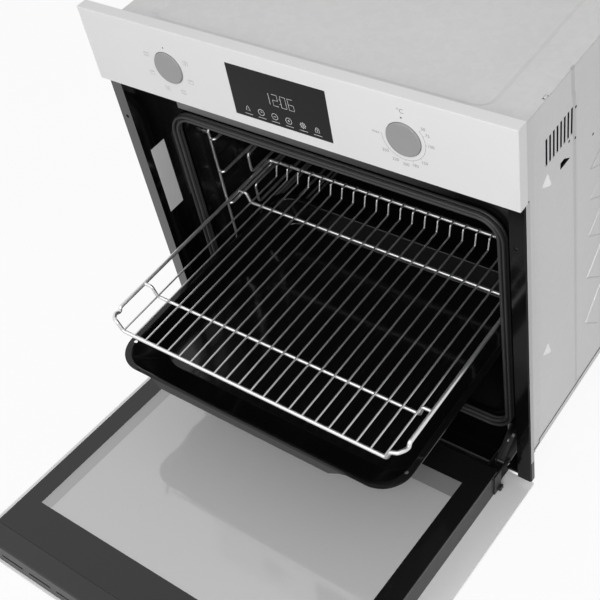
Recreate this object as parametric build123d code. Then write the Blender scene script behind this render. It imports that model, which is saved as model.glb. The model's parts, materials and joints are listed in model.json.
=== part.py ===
from build123d import *
import os
from math import cos, radians, sin

# Built-in wall oven with a drop-down door, drawn with the door open and the rack and tray pulled out.
# Millimetres. X to the right, Y into the oven, Z up. The origin is on the underside of the base,
# in the middle, at the plane of the cabinet's front edges.

# Driving dimensions of the front
facade_half = 297.0
facade_bottom = -4.0
panel_bottom = 487.0
panel_top = 591.0
panel_front = -20.0
panel_back = -4.0
sheet = 1.0
pressing = 1.2

# Display and knobs
display_half = 69.0
display_low = 501.0
display_high = 571.0
knob_x = 164.0
knob_z = 537.5
knob_radius = 21.2
knob_sides = 20
sleeve_bore = 21.8
sleeve_radius = 22.5
shaft_radius = 3.0
shaft_clearance = 0.05
knob_face = -22.0
bracket_y = 14.5

# Casing
case_half = 279.0
case_depth = 545.0
case_top = 563.0
side_top = 559.3
frame_y = 38.5
trim_half = 277.0
trim_front = -9.0
trim_screw_x = 285.0
trim_screw_z = 422.0
trim_screw_radius = 2.6

# Cavity and gasket
mouth_half = 236.0
mouth_low = 44.0
mouth_high = 403.0
mouth_corner = 30.0
cavity_half = 243.0
cavity_low = 40.0
cavity_high = 410.0
cavity_rear = 475.0
gasket_half = 250.0
gasket_low = 30.0
gasket_high = 416.5
gasket_corner = 36.0
gasket_front = 26.0

# Rack, tray and their supports
level_pitch = 58.5
first_level = 106.0
level_count = 5
support_x = 226.5
post_x = 234.5
support_front = 75.0
guide_front = 134.0
support_rear = 400.0
support_wire = 2.2
rail_half = 229.5
rail_z = 229.0
rail_wire = 2.75
rack_front = -187.0
rack_rear = 174.0
bar_z = 212.5
bar_wire = 2.4
bar_places = (-115.5, 97.5)
grid_wire = 1.4
grid_count = 22
grid_half = 207.9
tray_half = 229.0
tray_front = -208.0
tray_rear = 178.0
tray_rim = 168.0
tray_depth = 46.0
tray_sheet = 1.2

# Fan, heating elements and lamp
fan_z = 225.0
fan_radius = 72.0
cover_front = 436.0
element_radius = 3.2
lamp_x = 195.0
lamp_z = 350.0
blower_y = 285.0
blower_z = 486.0

# Door, drawn closed and then dropped open about its pivots
hinge_y = 0.0
hinge_z = -2.0
open_angle = 84.5
glass = 4.0
door_front = -17.0
door_back = door_front + glass
door_low = -2.0
door_high = 483.0
inner_face = 25.0
inner_half = 261.0
inner_low = 31.0
inner_high = 452.0
channel_inner = 238.0
channel_outer = 258.0
pin_radius = 3.0
handle_z = 445.0
handle_half = 236.0
handle_y = -57.0
post_reach = 200.0


# Shared shapes

def block(x0, x1, y0, y1, z0, z1):
    middle = ((x0 + x1) / 2, (y0 + y1) / 2, (z0 + z1) / 2)
    return Pos(*middle) * Box(x1 - x0, y1 - y0, z1 - z0)


def disc(x, z, y0, y1, radius):
    return Pos(x, (y0 + y1) / 2, z) * Rot(90, 0, 0) * Cylinder(radius, y1 - y0)


def drum(x, z, y0, y1, radius, sides=16):
    face = Plane((x, y0, z), x_dir=(1, 0, 0), z_dir=(0, 1, 0))
    return extrude(face * RegularPolygon(radius, sides), y1 - y0)


def rod_x(y, z, x0, x1, radius):
    return Pos((x0 + x1) / 2, y, z) * Rot(0, 90, 0) * Cylinder(radius, x1 - x0)


def drum_x(y, z, x0, x1, radius, sides=16):
    face = Plane((x0, y, z), x_dir=(0, 1, 0), z_dir=(1, 0, 0))
    return extrude(face * RegularPolygon(radius, sides), x1 - x0)


def soft_outline(half, low, high, low_corner, high_corner):
    steps = 3
    points = []
    for side, end, radius, start in ((1, high, high_corner, 0), (-1, high, high_corner, 90),
                                     (-1, low, low_corner, 180), (1, low, low_corner, 270)):
        inward = -radius if end == high else radius
        for k in range(steps + 1):
            angle = radians(start + 90 * k / steps)
            points.append((side * (half - radius) + radius * cos(angle), end + inward + radius * sin(angle)))
    return points


def flat_face(points):
    return make_face(Polyline(*points, close=True))


def tapered(lower, upper):
    # A solid between two outlines with as many corners, its walls made of flat triangles.
    faces = [flat_face(lower), flat_face(upper)]
    for a, b, c, d in zip(lower, lower[1:] + lower[:1], upper, upper[1:] + upper[:1]):
        faces += [flat_face([a, b, d]), flat_face([a, d, c])]
    return Solid(Shell(faces))


def at_x(x, points):
    return [(x, y, z) for y, z in points]


def at_z(z, points):
    return [(x, y, z) for x, y in points]


def slab_y(half, low, high, y0, y1, corner):
    face = Plane((0, y0, (low + high) / 2), x_dir=(1, 0, 0), z_dir=(0, 1, 0))
    rise = (high - low) / 2
    return extrude(face * flat_face(soft_outline(half, -rise, rise, corner, corner)), y1 - y0)


def ring_y(half, low, high, corner, width, y0, y1):
    outer = slab_y(half, low, high, y0, y1, corner)
    inner = slab_y(half - width, low + width, high - width, y0 - 1, y1 + 1, corner - width)
    return outer - inner


def profile_x(points, x0, x1):
    face = Plane((x0, 0, 0), x_dir=(0, 1, 0), z_dir=(1, 0, 0))
    return extrude(face * flat_face(points), x1 - x0)


def profile_z(points, z0, z1):
    return extrude(Pos(0, 0, z0) * flat_face(points), z1 - z0)


def both_sides(shape):
    return shape + mirror(shape, Plane.YZ)


def other_side(shape):
    return mirror(shape, Plane.YZ)


def bent_wire(points, radius, sides):
    path = Polyline(*points)
    start = Plane(path @ 0, z_dir=path % 0)
    section = RegularPolygon(radius, sides, rotation=180 / sides)
    return sweep(start * section, path=path, transition=Transition.RIGHT)


def drop_open(shape):
    there = Pos(0, hinge_y, hinge_z) * Rot(open_angle, 0, 0)
    return there * Pos(0, -hinge_y, -hinge_z) * shape


# Control panel and what sits behind it

def control_panel():
    shell = block(-facade_half, facade_half, panel_front, panel_back, panel_bottom, panel_top)
    front_edges = shell.edges().filter_by_position(Axis.Y, panel_front - 0.1, panel_front + 0.1)
    shell = chamfer(front_edges, 0.7)
    inside = facade_half - sheet
    shell -= block(-inside, inside, panel_front + sheet, 0, panel_bottom + sheet, panel_top - sheet)
    gap = 0.2
    shell -= block(-display_half - gap, display_half + gap, panel_front - 1, panel_front + 2,
                   display_low - gap, display_high + gap)
    for x in (-knob_x, knob_x):
        shell -= drum(x, knob_z, panel_front - 1, panel_front + 2, sleeve_radius + 0.1, knob_sides)
    return shell


def display_glass():
    pane = block(-display_half, display_half, panel_front - 0.2, panel_front + 3.2, display_low, display_high)
    return chamfer(pane.faces().sort_by(Axis.Y)[0].edges(), 0.3)


def timer_module():
    board = block(-66, 66, panel_front + 3.2, panel_front + 4.8, display_low + 2, display_high - 2)
    housing = block(-60, 60, panel_front + 4.8, bracket_y - 4, display_low + 6, side_top - 1)
    housing = chamfer(housing.edges().filter_by(Axis.Y), 4)
    plug = block(-20, 20, bracket_y - 4, bracket_y, display_low + 16, display_low + 30)
    return board + housing + plug


def control_bracket():
    plate = block(-245, 245, bracket_y, bracket_y + sheet, 500, side_top - 1)
    shelf = block(-245, 245, bracket_y + sheet, frame_y + 1, 500, 501)
    for x in (-knob_x, knob_x):
        plate -= drum(x, knob_z, bracket_y - 1, bracket_y + 2, 8, 12)
    plate -= block(-22, 22, bracket_y - 1, bracket_y + 2, 512, 536)
    for x in (-90, 90):
        plate -= block(x - 24, x + 24, bracket_y - 1, bracket_y + 2, 516, 560)
    return plate + shelf


def function_switch():
    rear = bracket_y + sheet
    body = block(-knob_x - 23, -knob_x + 23, rear, rear + 14, knob_z - 23, knob_z + 23)
    body = chamfer(body.edges().filter_by(Axis.Y), 6)
    body += block(-knob_x - 19, -knob_x + 19, rear + 14, rear + 34, knob_z - 19, knob_z + 19)
    for z in (knob_z - 8, knob_z + 8):
        body += block(-knob_x - 22, -knob_x - 19, rear + 18, rear + 30, z - 0.4, z + 0.4)
        body += block(-knob_x + 19, -knob_x + 22, rear + 18, rear + 30, z - 0.4, z + 0.4)
    return body - disc(-knob_x, knob_z, rear - 1, rear + 12, shaft_radius + shaft_clearance)


def thermostat():
    rear = bracket_y + sheet
    body = drum(knob_x, knob_z, rear + 2, rear + 26, 19, 10)
    body += block(knob_x - 28, knob_x + 28, rear, rear + 2, knob_z - 12, knob_z + 12)
    for x in (knob_x - 8, knob_x + 8):
        body += block(x - 0.4, x + 0.4, rear + 26, rear + 38, knob_z - 3.2, knob_z + 3.2)
    return body - disc(knob_x, knob_z, rear - 1, rear + 12, shaft_radius + shaft_clearance)


def knob_shaft(x):
    shaft = disc(x, knob_z, panel_front + 2, bracket_y + sheet + 11, shaft_radius)
    flat = block(x - 4, x + 4, panel_front + 1, bracket_y - 2, knob_z + 2, knob_z + 4)
    return shaft - flat


def knob(x):
    skirt_end = 4.0
    boss_end = 12.0
    face_inside = knob_face + 2.4
    body = drum(x, knob_z, knob_face, skirt_end, knob_radius, knob_sides)
    body = chamfer(body.faces().sort_by(Axis.Y)[0].edges(), 1.0)
    body -= drum(x, knob_z, face_inside, skirt_end + 1, knob_radius - 1.8, 12)
    body += block(x - 19.5, x + 19.5, face_inside, skirt_end - 2, knob_z - 0.8, knob_z + 0.8)
    body += drum(x, knob_z, face_inside, boss_end, 6.4, 8)
    bore = disc(x, knob_z, panel_front + 1.4, boss_end + 1, shaft_radius + shaft_clearance)
    bore -= block(x - 4, x + 4, panel_front, boss_end + 2, knob_z + 2 + shaft_clearance, knob_z + 5)
    return body - bore


def knob_sleeves():
    right = drum(knob_x, knob_z, panel_front - 0.6, 3, sleeve_radius, knob_sides)
    right -= drum(knob_x, knob_z, panel_front - 2, 4, sleeve_bore, knob_sides)
    return both_sides(right)


# Front frame, trims and gasket

def right_side_trim():
    thick = 1.2
    corner = (facade_half, trim_front)
    trim = block(trim_half, facade_half, trim_front, trim_front + thick, facade_bottom, panel_bottom)
    trim += block(facade_half - thick, facade_half, trim_front, 0, facade_bottom, panel_bottom)
    trim += block(trim_half, trim_half + sheet, trim_front, frame_y, facade_bottom, panel_bottom)
    outer_edge = trim.edges().filter_by(Axis.Z).sort_by_distance((*corner, 240))[0]
    trim = chamfer(outer_edge, 1.8)
    return trim - disc(trim_screw_x, trim_screw_z, trim_front - 1, trim_front + 3, trim_screw_radius)


def hinge_slots(y0, y1, z0, z1):
    return both_sides(block(236.5, 259.5, y0, y1, z0, z1))


def front_frame():
    plate = block(-trim_half, trim_half, frame_y, frame_y + sheet, 2, 500)
    plate += slab_y(mouth_half + sheet, mouth_low - sheet, mouth_high + sheet, frame_y + sheet, frame_y + 5,
                    mouth_corner + sheet)
    plate -= slab_y(mouth_half, mouth_low, mouth_high, frame_y - 1, frame_y + 6, mouth_corner)
    plate += block(-trim_half, trim_half, frame_y + sheet, 60, 499, 500)
    plate += block(-trim_half, trim_half, 20.2, frame_y, 2, 3)
    for x in (-258, 258):
        for z in (290, 308):
            plate -= block(x - 1.5, x + 1.5, frame_y - 1, frame_y + 2, z - 6, z + 6)
        plate -= drum(x, 436, frame_y - 1, frame_y + 0.5, 7, 12)
    return plate - hinge_slots(19, frame_y + 2, 0, 36)


def bottom_trim():
    fold = [(20, 3.2), (-6, 2.4), (-6, -1.6), (-5, -1.6), (-5, 1.4), (20, 2.2)]
    strip = profile_x(fold, -trim_half, trim_half)
    return strip - hinge_slots(-7, 21, -3, 5)


def door_gasket():
    base = ring_y(gasket_half, gasket_low, gasket_high, gasket_corner, 11.5, 31.5, frame_y)
    outer_lip = ring_y(gasket_half, gasket_low, gasket_high, gasket_corner, 4.5, gasket_front, 31.5)
    lip_edges = outer_lip.faces().sort_by(Axis.Y)[0].outer_wire().edges()
    outer_lip = chamfer(lip_edges, 2.0)
    inset = 7.5
    inner_lip = ring_y(gasket_half - inset, gasket_low + inset, gasket_high - inset,
                       gasket_corner - inset, 4.0, gasket_front + 1.5, 31.5)
    return base + outer_lip + inner_lip


# Cavity with its supports, elements, fan and lamp

def oven_cavity():
    front = frame_y + sheet
    outer = slab_y(cavity_half + sheet, cavity_low - sheet, cavity_high + sheet, front, cavity_rear + sheet,
                   mouth_corner + sheet)
    inner = slab_y(cavity_half, cavity_low, cavity_high, front - 10, cavity_rear, mouth_corner)
    inner = chamfer(inner.faces().sort_by(Axis.Y)[-1].edges(), 6)
    liner = outer - inner
    liner -= drum(0, fan_z, cavity_rear - 1, cavity_rear + 2, 8, 8)
    liner -= drum(lamp_x, lamp_z, cavity_rear - 1, cavity_rear + 2, 12, 8)
    for x in (-30, 30):
        liner -= drum(x, 392, cavity_rear - 1, cavity_rear + 2, element_radius + 1.2, 6)
        liner -= drum(x, fan_z - 118, cavity_rear - 1, cavity_rear + 2, element_radius + 1.2, 6)
    return liner


def right_rack_support():
    sides = 4
    low = first_level - 20
    high = first_level + level_pitch * (level_count - 1) + 18
    guide_x = post_x - 3
    ladder = bent_wire([(post_x, support_front, low), (post_x, support_front, high)], support_wire, sides)
    ladder += bent_wire([(post_x, support_rear, low), (post_x, support_rear, high)], support_wire, sides)
    for k in range(level_count):
        z = first_level + level_pitch * k
        shelf = [(post_x, support_front, z), (support_x, support_front, z),
                 (support_x, support_rear, z), (post_x, support_rear, z)]
        ladder += bent_wire(shelf, support_wire, sides)
        guide = [(guide_x, support_rear + 2, z + 12), (guide_x, guide_front, z + 12)]
        if k < level_count - 1:
            guide += [(guide_x, guide_front, z + 46), (guide_x, support_rear + 2, z + 46)]
        ladder += bent_wire(guide, support_wire, sides)
    for y in (support_front, support_rear):
        for z in (low + 6, high - 6):
            ladder += block(post_x, cavity_half, y - 3, y + 3, z - 3, z + 3)
    return ladder


def grill_element():
    z = 392
    path = [(-30, 490, z), (-30, 400, z), (-200, 400, z), (-200, 110, z), (-70, 110, z), (-70, 330, z),
            (70, 330, z), (70, 110, z), (200, 110, z), (200, 400, z), (30, 400, z), (30, 490, z)]
    return bent_wire(path, element_radius, 6)


def bottom_element():
    z = 34
    path = [(-60, 440, z), (-60, 380, z), (-180, 380, z), (-180, 110, z), (180, 110, z), (180, 380, z),
            (60, 380, z), (60, 440, z)]
    return bent_wire(path, element_radius, 6)


def ring_element():
    y = 455
    turn = [radians(-75 + 330 * k / 12) for k in range(13)]
    loop = [(95 * cos(a), y, fan_z + 95 * sin(a)) for a in turn]
    ends_z = fan_z - 118
    path = [(30, 490, ends_z), (30, y, ends_z)] + loop + [(-30, y, ends_z), (-30, 490, ends_z)]
    return bent_wire(path, element_radius, 6)


def fan_cover():
    half = 155
    low = fan_z - 150
    high = fan_z + 150
    shell = slab_y(half, low, high, cover_front, cavity_rear - 1, 25)
    shell = chamfer(shell.faces().sort_by(Axis.Y)[0].edges(), 5)
    inside = slab_y(half - sheet, low + sheet, high - sheet, cover_front + sheet, cavity_rear, 24)
    shell -= chamfer(inside.faces().sort_by(Axis.Y)[0].edges(), 4.6)
    shell += slab_y(half + 10, low - 10, high + 10, cavity_rear - 1.5, cavity_rear, 30) \
        - slab_y(half - sheet, low + sheet, high - sheet, cavity_rear - 2, cavity_rear + 1, 24)
    hub = Pos(0, 0, fan_z)
    slots = 10
    for k in range(slots):
        slot = block(-3.2, 3.2, cover_front - 1, cover_front + 3, 26, 62)
        shell -= hub * Rot(0, 360 / slots * k, 0) * slot
    for x in (-half, half):
        for z in (fan_z - 70, fan_z, fan_z + 70):
            shell -= block(x - 3, x + 3, cover_front + 10, cover_front + 30, z - 24, z + 24)
    return shell


def convection_fan():
    back = drum(0, fan_z, 462, 463.2, fan_radius, 12)
    hub = drum(0, fan_z, 448, 466, 9, 6)
    fan = back + hub
    blades = 8
    blade = block(-0.6, 0.6, 446, 462, 24, fan_radius - 3)
    for k in range(blades):
        lean = Pos(0, 0, 48) * Rot(0, 22, 0) * Pos(0, 0, -48) * blade
        fan += Pos(0, 0, fan_z) * Rot(0, 360 / blades * k, 0) * lean
    return fan + disc(0, fan_z, 466, 520, shaft_radius)


def fan_motor():
    plate = block(-46, 46, 482, 484, fan_z - 30, fan_z + 30)
    stack = block(-30, 30, 492, 516, fan_z - 26, fan_z + 26)
    coil = block(-16, 16, 489, 519, fan_z - 44, fan_z - 25)
    cup = drum(0, fan_z, 484, 528, 17, 10)
    motor = plate + stack + coil + cup
    for x in (-40, 40):
        motor += drum(x, fan_z, cavity_rear + sheet, 482, 4, 6)
    return motor - disc(0, fan_z, 470, 522, shaft_radius + shaft_clearance)


def lamp_holder():
    cup = drum(lamp_x, lamp_z, cavity_rear + sheet, 512, 20, 12)
    cup -= drum(lamp_x, lamp_z, cavity_rear, 508, 11, 8)
    for x in (lamp_x - 6, lamp_x + 6):
        cup += block(x - 0.4, x + 0.4, 512, 522, lamp_z - 3, lamp_z + 3)
    return cup


def lamp_bulb():
    bulb = drum(lamp_x, lamp_z, 466, 490, 7, 8)
    bulb = chamfer(bulb.faces().sort_by(Axis.Y)[0].edges(), 2.5)
    return bulb + drum(lamp_x, lamp_z, 490, 508, 5, 8)


def lamp_lens():
    sides = 10
    dome = drum(lamp_x, lamp_z, 452, 472, 24, sides)
    dome = chamfer(dome.faces().sort_by(Axis.Y)[0].edges(), 6)
    bowl = drum(lamp_x, lamp_z, 455, 476, 21, sides)
    bowl = chamfer(bowl.faces().sort_by(Axis.Y)[0].edges(), 5)
    flange = drum(lamp_x, lamp_z, 472, cavity_rear, 28, sides)
    return dome + flange - bowl


# Rack and tray

def rack_frame():
    # The front wire jogs up and round the corner, then dips as a stop before the straight side rail
    stop = rack_front + 18.5
    half_path = [(0, rack_front, bar_z), (210, rack_front, bar_z), (216.5, rack_front, rail_z - 1.7),
                 (224.4, rack_front + 3, rail_z - 1.7), (rail_half, rack_front + 10.4, rail_z - 2),
                 (rail_half, stop, rail_z - 6), (rail_half, stop + 3, rail_z),
                 (rail_half, rack_rear, rail_z), (0, rack_rear, rail_z)]
    right = bent_wire(half_path, rail_wire, 6)
    for y in bar_places:
        bar = [(0, y, bar_z), (210.5, y, bar_z), (216, y, rail_z), (rail_half - 1, y, rail_z)]
        right += bent_wire(bar, bar_wire, 6)
    return both_sides(right)


def rack_grid():
    pitch = 2 * grid_half / (grid_count - 1)
    # Each thin wire lies on the bars, rises as a fence and ends over the rear wire
    wire_z = bar_z + bar_wire + 0.6
    fence_z = rail_z + rail_wire + 0.5
    path = [(rack_front - 0.5, wire_z), (rack_rear - 15.5, wire_z), (rack_rear - 10.5, fence_z),
            (rack_rear + 0.5, fence_z)]
    first = bent_wire([(-grid_half, y, z) for y, z in path], grid_wire, 4)
    return Compound([Pos(pitch * k, 0, 0) * first for k in range(grid_count)])


def tray_outline(z, half, front, rear, front_corner, rear_corner):
    return at_z(z, soft_outline(half, front, rear, front_corner, rear_corner))


def deep_tray():
    floor_z = tray_rim - tray_depth
    under = tray_rim - tray_sheet
    wall = tray_sheet
    outer = tapered(tray_outline(floor_z, 205, -154, 165, 24, 24),
                    tray_outline(under, 219, tray_front + 5, 169, 40, 28))
    rim = extrude(flat_face(tray_outline(under, tray_half, tray_front, tray_rear, 42, 30)), tray_sheet)
    lip_drop = 5.0
    lip = profile_x([(tray_front + 2, tray_rim), (tray_front + 2, under), (tray_front - 6, under - lip_drop),
                     (tray_front - 6, tray_rim - lip_drop)], -157, 157)
    for side in (-1, 1):
        cut = [(side * 157, tray_front), (side * 137, tray_front - 7), (side * 160, tray_front - 7)]
        lip -= profile_z(cut, floor_z, tray_rim + 1)
    inner = tapered(tray_outline(floor_z + wall, 205 - wall, -154 + wall, 165 - wall, 23, 23),
                    tray_outline(tray_rim + 0.01, 219 - wall, tray_front + 5 + wall, 169 - wall, 39, 27))
    tray = outer + rim + lip - inner
    for x in (-220, 220):
        tray -= Pos(x, tray_front + 39, tray_rim - 5) * extrude(RegularPolygon(2.8, 6), 10)
    return tray


# Casing

def scoop(y, z):
    # A half oval tongue, level with the sheet along its chord and lifted at its round end.
    steps = 5
    chord = 8.0
    reach = 16.0
    lift = 2.5
    tip = 0.3
    down = radians(52.4)
    flat = []
    raised = []
    for k in range(steps + 1):
        a = radians(-90 + 180 * k / steps)
        along = reach * cos(a)
        across = chord * sin(a)
        ahead = reach + (along - reach) * tip
        for points, u, v in ((flat, along, across), (raised, ahead, across * tip)):
            points.append((y + u * cos(down) + v * sin(down), z - u * sin(down) + v * cos(down)))
    top = case_half + pressing
    return tapered(at_x(top - 0.5, flat), at_x(top + lift, raised))


def side_relief(outline, inset):
    # A raised field of the side sheet, from its outline up to a smaller one.
    return tapered(at_x(case_half - 0.5, outline), at_x(case_half + pressing, inset))


def right_side_panel():
    low = 1.0
    outline = [(0, low), (case_depth, low), (case_depth, side_top), (10, side_top), (0, side_top - 10)]
    panel = profile_x(outline, case_half - sheet, case_half)
    panel += side_relief([(40, 12), (168, 12), (142, 531), (58, 539), (40, 522)],
                         [(51, 20), (145, 20), (138, 521), (62, 528), (51, 516)])
    for k in range(5):
        middle = 385 - 41 * k - 6.5 * k * k
        rise = 20 + 5 * k
        foot = [(178, middle), (220, middle - rise), (262, middle), (220, middle + rise)]
        crest = [(184, middle), (220, middle - rise + 3), (256, middle), (220, middle + rise - 3)]
        panel += side_relief(foot, crest)
    x0 = case_half - 2
    x1 = case_half + 3
    for k in range(8):
        y = 68.5 + 8.3 * k
        panel -= block(x0, x1, y - 2, y + 2, 475, 511)
    panel -= profile_x([(101, 445), (124, 445), (110, 454), (101, 454)], x0, x1)
    for y, z in ((136, 506), (136, 464), (121, 470), (184, 434)):
        panel -= drum_x(y, z, x0, x1, 1.8, 5)
    for z in (458, 182):
        panel += scoop(64.5, z)
    return panel


def top_cover():
    slope_in = 258
    slope_out = 271
    edge = case_half - 0.2
    fall = 2.5
    front = panel_back + 0.5
    line = [(slope_in, case_top), (slope_out, case_top - fall), (edge, case_top - fall)]
    under = [(x, z - sheet) for x, z in reversed(line)]
    right = line + under
    left = [(-x, z) for x, z in reversed(right)]
    face = Plane((0, front, 0), x_dir=(1, 0, 0), z_dir=(0, -1, 0))
    cover = extrude(face * flat_face(right + left), front - case_depth)
    cover += block(-edge, edge, front, front + sheet, case_top - sheet, panel_top - 3)
    flange_low = case_top - 18
    flange = block(case_half - 3, case_half - 2, front, case_depth - 2, flange_low, case_top - fall)
    cover += both_sides(flange)
    floor = case_top - 4
    brim = soft_outline(238, 29, 505, 20, 20)
    pan = soft_outline(230.5, 36.5, 497.5, 14, 14)
    cover += tapered(at_z(floor - sheet, pan), at_z(case_top - sheet, brim))
    cover -= tapered(at_z(floor, soft_outline(230, 37, 497, 14, 14)), at_z(case_top + 0.01, brim))
    cover -= both_sides(block(case_half - 4, case_half + 1, 69, 77, case_top - 8, case_top))
    for k in range(6):
        x = -150 + 60 * k
        cover -= block(x - 22, x + 22, 520, 525, case_top - 5, case_top + 5)
    return cover


def back_panel():
    y0 = case_depth - 1
    panel = block(-case_half + 1, case_half - 1, y0, case_depth, 1, side_top)
    for z in (150, 164, 286, 300):
        for x in (-70, 70):
            panel -= block(x - 60, x + 60, y0 - 1, case_depth + 1, z - 3, z + 3)
    panel -= drum(-190, 470, y0 - 1, case_depth + 1, 12, 8)
    return panel


def base_panel():
    base = block(-case_half + 1, case_half - 1, 45, case_depth - 1, 0, 1)
    base += block(-232, 232, -4, 45, 0, 1)
    for x in (-150, 0, 150):
        rib = chamfer(block(x - 20, x + 20, 110, 490, 1, 6).faces().sort_by(Axis.Z)[-1].edges(), 4)
        groove = chamfer(block(x - 19, x + 19, 111, 489, -1, 5).faces().sort_by(Axis.Z)[-1].edges(), 4)
        base = base + rib - groove
    return base


def insulation():
    wool = block(-266, 266, 62, 474 + 24, 14, 440)
    wool = chamfer(wool.edges().filter_by(Axis.Y).group_by(Axis.Z)[-1], 24)
    wool -= block(-cavity_half - 1.5, cavity_half + 1.5, 40, cavity_rear + 2, 26, cavity_high + 1.5)
    wool -= both_sides(block(230, 270, 60, 120, 10, 60))
    wool -= block(-60, 60, cavity_rear, 500, fan_z - 60, fan_z + 60)
    wool -= drum(lamp_x, lamp_z, cavity_rear, 500, 30, 8)
    wool -= block(-50, 50, cavity_rear, 500, 380, 404)
    wool -= block(-50, 50, cavity_rear, 500, fan_z - 130, fan_z - 60)
    return wool - block(-70, 70, 430, 500, 24, 44)


def cooling_duct():
    width = 212
    sides = 12
    duct = block(-width, width, 62, 262, 446, 474) - block(-width + 1, width - 1, 61, 263, 447, 473)
    scroll = drum_x(blower_y, blower_z, -118, 118, 41, sides)
    scroll -= drum_x(blower_y, blower_z, -117, 117, 40, sides)
    scroll -= drum_x(blower_y, blower_z, -130, 130, 8, 8)
    mouth = block(-110, 110, 240, blower_y, 447, 473)
    intake = block(-100, 100, blower_y + 5, 340, blower_z + 4, blower_z + 60)
    duct -= drum_x(blower_y, blower_z, -118, 118, 41, sides)
    return duct + scroll - mouth - intake


def blower_wheel():
    wheel = rod_x(blower_y, blower_z, 106, 150, shaft_radius)
    wheel += drum_x(blower_y, blower_z, -112, 106, shaft_radius, 6)
    for x in (-104, 102):
        wheel += drum_x(blower_y, blower_z, x, x + 2, 32, 12)
    blades = 8
    for k in range(blades):
        blade = block(-102, 102, -0.5, 0.5, 22, 29)
        leaned = Pos(0, 0, 25) * Rot(25, 0, 0) * Pos(0, 0, -25) * blade
        wheel += Pos(0, blower_y, blower_z) * Rot(360 / blades * k, 0, 0) * leaned
    return wheel


def blower_motor():
    stack = block(126, 152, blower_y - 22, blower_y + 28, blower_z - 24, blower_z + 24)
    cup = drum_x(blower_y, blower_z, 119, 158, 15, 10)
    foot = block(128, 150, blower_y - 20, blower_y + 20, 440, blower_z - 24)
    return stack + cup + foot - rod_x(blower_y, blower_z, 100, 153, shaft_radius + shaft_clearance)


def terminal_box():
    box = block(-236, -144, case_depth, case_depth + 22, 450, 512)
    box = chamfer(box.edges().filter_by(Axis.Y), 4)
    box = chamfer(box.faces().sort_by(Axis.Y)[-1].edges(), 2)
    return box - Pos(-190, case_depth + 11, 440) * extrude(RegularPolygon(8, 8), 20)


def cable_gland():
    gland = Pos(-190, case_depth + 11, 439) * extrude(RegularPolygon(7.9, 8), 18)
    gland += Pos(-190, case_depth + 11, 445) * extrude(RegularPolygon(11, 6), 4.9)
    return gland - Pos(-190, case_depth + 11, 448) * Cylinder(4.5, 40)


def screws():
    heads = None
    places = [(x, z) for x in (-262, 262) for z in (30, 260, 490)]
    for x, z in places:
        head = drum(x, z, case_depth, case_depth + 2, 4, 5)
        heads = head if heads is None else heads + head
    for x in (-258, 258):
        heads += drum(x, 436, frame_y - 1.4, frame_y + 0.5, 4.5, 8)
    return heads


# Hinges

def right_hinge_receiver():
    cup = block(236.6, 259.4, frame_y + sheet, 96, 5, 37)
    cup -= block(238, 258, frame_y, 94, 7, 35)
    return cup + drum_x(66, 27, 236.6, 259.4, 3, 6)


def hinge_receivers():
    return both_sides(right_hinge_receiver())


def right_hinge_arm():
    outline = [(-5.5, 2.5), (30, 28), (44, 32), (58, 32), (60, 23), (70, 23), (72, 31), (86, 31), (86, 14),
               (40, 11), (5, -7)]
    arm = block(243, 253, 40, 56, 12, 14)
    for x in (241, 253):
        arm += profile_x(outline, x, x + 2) + drum_x(hinge_y, hinge_z, x, x + 2, 7, 8)
    return arm - rod_x(hinge_y, hinge_z, 235, 260, pin_radius + shaft_clearance)


def right_hinge_channel():
    wall = 1.5
    top = 205
    channel = block(channel_inner, channel_outer, -11, 12, -9, top)
    channel -= block(channel_inner + wall, channel_outer - wall, -11 + wall, 13, -10, top + 1)
    lower_edges = channel.edges().filter_by(Axis.X).group_by(Axis.Z)[0].group_by(Axis.Y)[-1]
    channel = chamfer(lower_edges, 5)
    channel -= rod_x(hinge_y, hinge_z, 230, 270, pin_radius + shaft_clearance)
    return channel


def hinge_pins():
    return both_sides(rod_x(hinge_y, hinge_z, channel_inner - 0.5, channel_outer + 0.5, pin_radius))


# Door, in its closed place

def door_outer_glass():
    pane = block(-facade_half, facade_half, door_front, door_back, door_low, door_high)
    pane = chamfer(pane.edges().filter_by(Axis.Y), 1.5)
    return chamfer(pane.faces().sort_by(Axis.Y)[0].edges(), 0.6)


def door_middle_glass():
    return block(-mouth_half + 1, mouth_half - 1, 4, 8, 44, 446)


def door_inner_glass():
    pane = block(-inner_half, inner_half, inner_face - glass, inner_face, inner_low, inner_high)
    pane = chamfer(pane.edges().filter_by(Axis.Y), 2)
    return chamfer(pane.faces().sort_by(Axis.Y)[-1].edges(), 0.6)


def door_right_profile():
    inside = inner_face - glass
    web = inner_half - 2.5
    outline = [(246, door_back), (inner_half, door_back), (inner_half, inside), (246, inside),
               (246, inside - 1.5), (web, inside - 1.5), (web, door_back + 1.5), (246, door_back + 1.5)]
    profile = profile_z(outline, inner_low, inner_high)
    shelf = [(231, 2.5), (web, 2.5), (web, 4), (231, 4)]
    return profile + profile_z(shelf, 207, inner_high)


def door_top_rail():
    half = 268
    rail = block(-half, half, door_back, inner_face, inner_high, door_high - 3)
    rail = chamfer(rail.edges().filter_by(Axis.X).group_by(Axis.Z)[-1], 1.8)
    rail -= block(-half + 2, half - 2, door_back + 2, inner_face - 2, inner_high - 1, door_high - 5)
    for k in range(9):
        x = -208 + 52 * k
        rail -= block(x - 20, x + 20, 2, 6, door_high - 8, door_high)
    return rail


def door_bottom_rail():
    half = 236
    inside = inner_face - glass
    rail = block(-half, half, door_back, inside, inner_low, inner_low + 10)
    rail -= block(-half - 1, half + 1, door_back + 2, inside - 2, inner_low + 2, inner_low + 11)
    for k in range(7):
        x = -180 + 60 * k
        rail -= block(x - 22, x + 22, -4, 0, inner_low - 1, inner_low + 3)
    return rail


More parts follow.
